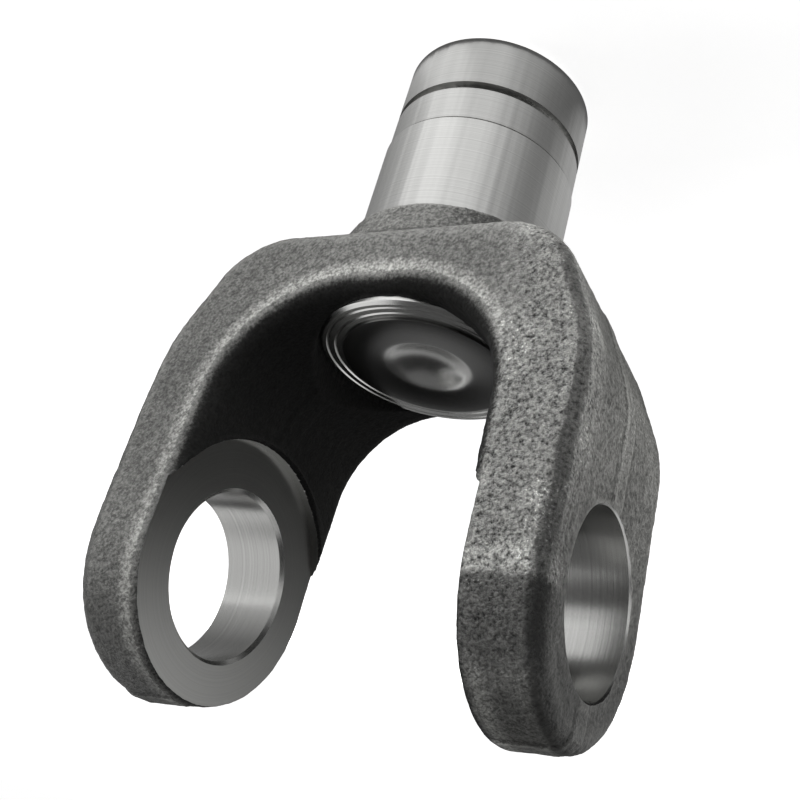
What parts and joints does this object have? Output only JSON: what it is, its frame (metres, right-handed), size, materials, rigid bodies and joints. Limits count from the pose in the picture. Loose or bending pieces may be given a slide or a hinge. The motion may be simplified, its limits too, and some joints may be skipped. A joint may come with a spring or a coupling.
{
  "type": "forged yoke",
  "caption": "Two-eared forged steel yoke with an in-line cross bore, spot-faced ears, a turned pad in the jaw and a turned stub shank with a ring groove.",
  "frame": {"origin": "centre of the shank's flat end", "axes": "X along the cross bore, -Y the front of the fork, +Z from the shank's end up to the ear tips"},
  "size_m": [0.0976, 0.054, 0.1538],
  "materials": {
    "forged_steel": "shot-blasted forging scale, with bright machined bores, faces and shank"
  },
  "bodies": {
    "root": {"forged_yoke": "forged_steel"}
  },
  "joints": []
}
